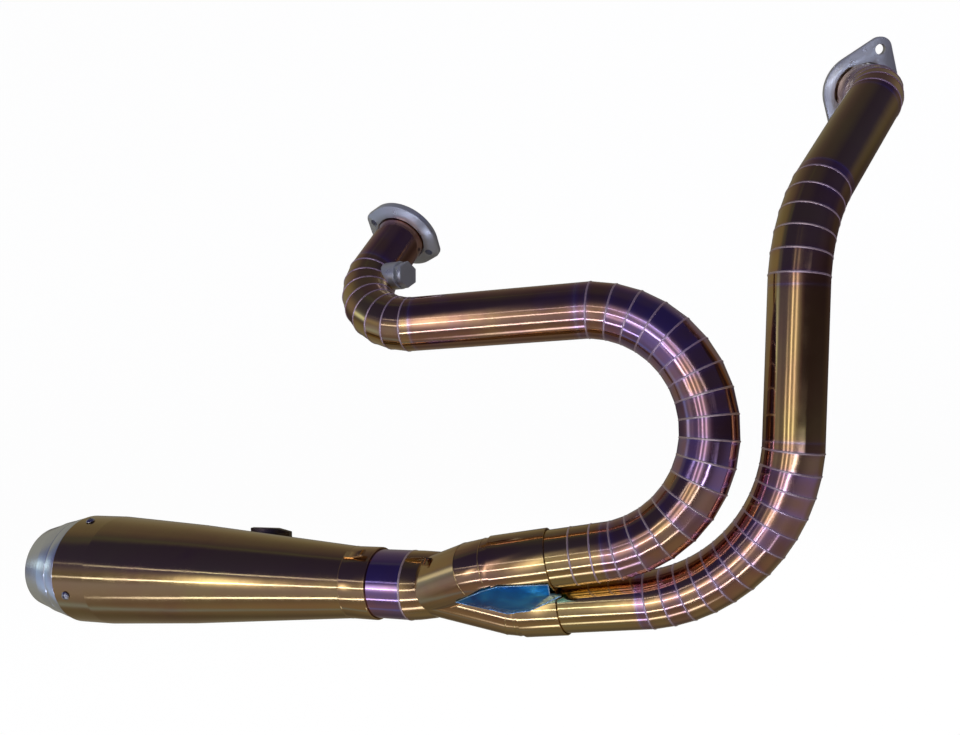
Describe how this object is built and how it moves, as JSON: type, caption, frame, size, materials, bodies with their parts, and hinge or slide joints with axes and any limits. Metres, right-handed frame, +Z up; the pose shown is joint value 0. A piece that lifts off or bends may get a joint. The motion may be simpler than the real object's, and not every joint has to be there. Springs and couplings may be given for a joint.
{
  "type": "motorcycle exhaust system",
  "caption": "Two-into-one motorcycle exhaust: welded pie-cut head pipes with port flanges, a merge collector and a tapered megaphone muffler with an end cap.",
  "frame": {"origin": "centre of the front head pipe's port end", "axes": "+X forward along the muffler's axis, +Z up, -Y outboard, away from the engine"},
  "size_m": [0.7979, 0.2481, 0.5017],
  "materials": {
    "tinted_steel": "polished, heat-tinted bronze and violet",
    "purple_steel": "polished, heat-tinted purple",
    "blued_steel": "polished, heat-tinted blue",
    "bare_steel": "satin",
    "bracket_steel": "satin, heat-tinted",
    "cap_aluminium": "turned and polished",
    "packing": "glass-fibre wool"
  },
  "bodies": {
    "front_head_pipe": {"front_slip_tail": "tinted_steel", "front_lower_bend_aft": "tinted_steel", "front_lower_bend_fore": "tinted_steel", "front_down_tube": "tinted_steel", "front_upper_bend": "tinted_steel", "front_upper_tube": "tinted_steel", "front_port_bend": "tinted_steel", "front_port_stub": "tinted_steel", "front_retaining_ring": "bare_steel"},
    "rear_head_pipe": {"rear_slip_tail": "tinted_steel", "rear_u_bend_lower": "tinted_steel", "rear_u_bend_upper": "tinted_steel", "rear_run_tube": "tinted_steel", "rear_port_bend": "tinted_steel", "rear_port_stub": "tinted_steel", "rear_retaining_ring": "bare_steel", "rear_sensor_bung": "bare_steel", "rear_sensor_plug": "bare_steel"},
    "collector": {"collector_outlet_tube": "purple_steel", "collector_merge_body": "tinted_steel", "collector_rear_socket": "tinted_steel", "collector_front_socket": "tinted_steel", "collector_gusset_outer": "blued_steel", "collector_gusset_inner": "tinted_steel", "collector_spring_hook_1": "bare_steel", "collector_spring_hook_2": "bare_steel"},
    "muffler": {"muffler_inlet_sleeve": "tinted_steel", "muffler_shell": "tinted_steel", "muffler_end_cap": "cap_aluminium", "end_cap_screw_1": "bare_steel", "end_cap_screw_2": "bare_steel", "end_cap_screw_3": "bare_steel", "end_cap_screw_4": "bare_steel", "muffler_core_tube": "bare_steel", "muffler_core_ring": "bare_steel", "muffler_packing": "packing", "muffler_hanger": "bracket_steel", "muffler_spring_hook_1": "bare_steel", "muffler_spring_hook_2": "bare_steel"},
    "front_flange": {"front_flange": "bare_steel"},
    "rear_flange": {"rear_flange": "bare_steel"}
  },
  "joints": [
    {"name": "collector_slip", "type": "slide", "parent": "front_head_pipe", "child": "collector", "axis": [-0.994, 0.0035, -0.1097], "range_m": [0, 0.03]},
    {"name": "rear_pipe_slip", "type": "slide", "parent": "collector", "child": "rear_head_pipe", "axis": [0.9834, 0.1103, 0.1444], "range_m": [0, 0.01]},
    {"name": "muffler_slip", "type": "slide", "parent": "collector", "child": "muffler", "axis": [-1, 0, 0], "range_m": [0, 0.02]},
    {"name": "front_flange_turn", "type": "hinge", "parent": "front_head_pipe", "child": "front_flange", "pos_m": [0.00187, -0.00581, -0.00225], "axis": [-0.2874, 0.8931, 0.346], "continuous": true},
    {"name": "rear_flange_turn", "type": "hinge", "parent": "rear_head_pipe", "child": "rear_flange", "pos_m": [-0.39069, -0.11911, -0.10432], "axis": [0.1865, 0.6756, 0.7133], "continuous": true}
  ]
}
